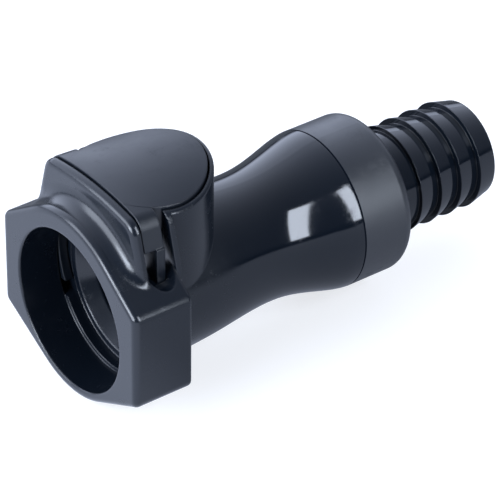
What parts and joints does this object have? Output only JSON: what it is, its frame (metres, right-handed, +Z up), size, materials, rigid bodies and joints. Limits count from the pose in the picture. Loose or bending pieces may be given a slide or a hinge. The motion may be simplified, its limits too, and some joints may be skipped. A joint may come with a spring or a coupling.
{
  "type": "plastic quick disconnect coupling",
  "caption": "Female quick disconnect coupling body with a thumb latch, a spring-loaded shut-off valve and a barbed hose tail.",
  "frame": {"origin": "centre of the mating mouth, where the bore axis leaves the front face", "axes": "+X along the bore axis from the mouth to the hose tail, +Z up through the thumb button, +Y to the left seen from the mouth looking along +X"},
  "size_m": [0.075, 0.0344, 0.0362],
  "materials": {
    "black_plastic": "moulded, semi-gloss",
    "valve_plastic": "moulded, satin",
    "seal_rubber": "matt",
    "spring_steel": "drawn wire"
  },
  "bodies": {
    "body": {"body_shell": "black_plastic", "hose_barb": "black_plastic", "valve_guide": "valve_plastic", "latch_spring": "spring_steel", "valve_spring": "spring_steel"},
    "latch": {"thumb_latch": "black_plastic"},
    "valve": {"valve_poppet": "valve_plastic", "valve_seal": "seal_rubber"}
  },
  "joints": [
    {"name": "latch_press", "type": "slide", "parent": "body", "child": "latch", "axis": [0, 0, -1], "range_m": [0, 0.002], "stiffness_N_per_m": 1500, "springref_m": -0.001, "deforming": ["latch_spring"]},
    {"name": "valve_open", "type": "slide", "parent": "body", "child": "valve", "axis": [1, 0, 0], "range_m": [0, 0.0045], "stiffness_N_per_m": 600, "springref_m": -0.002, "deforming": ["valve_spring"]}
  ]
}
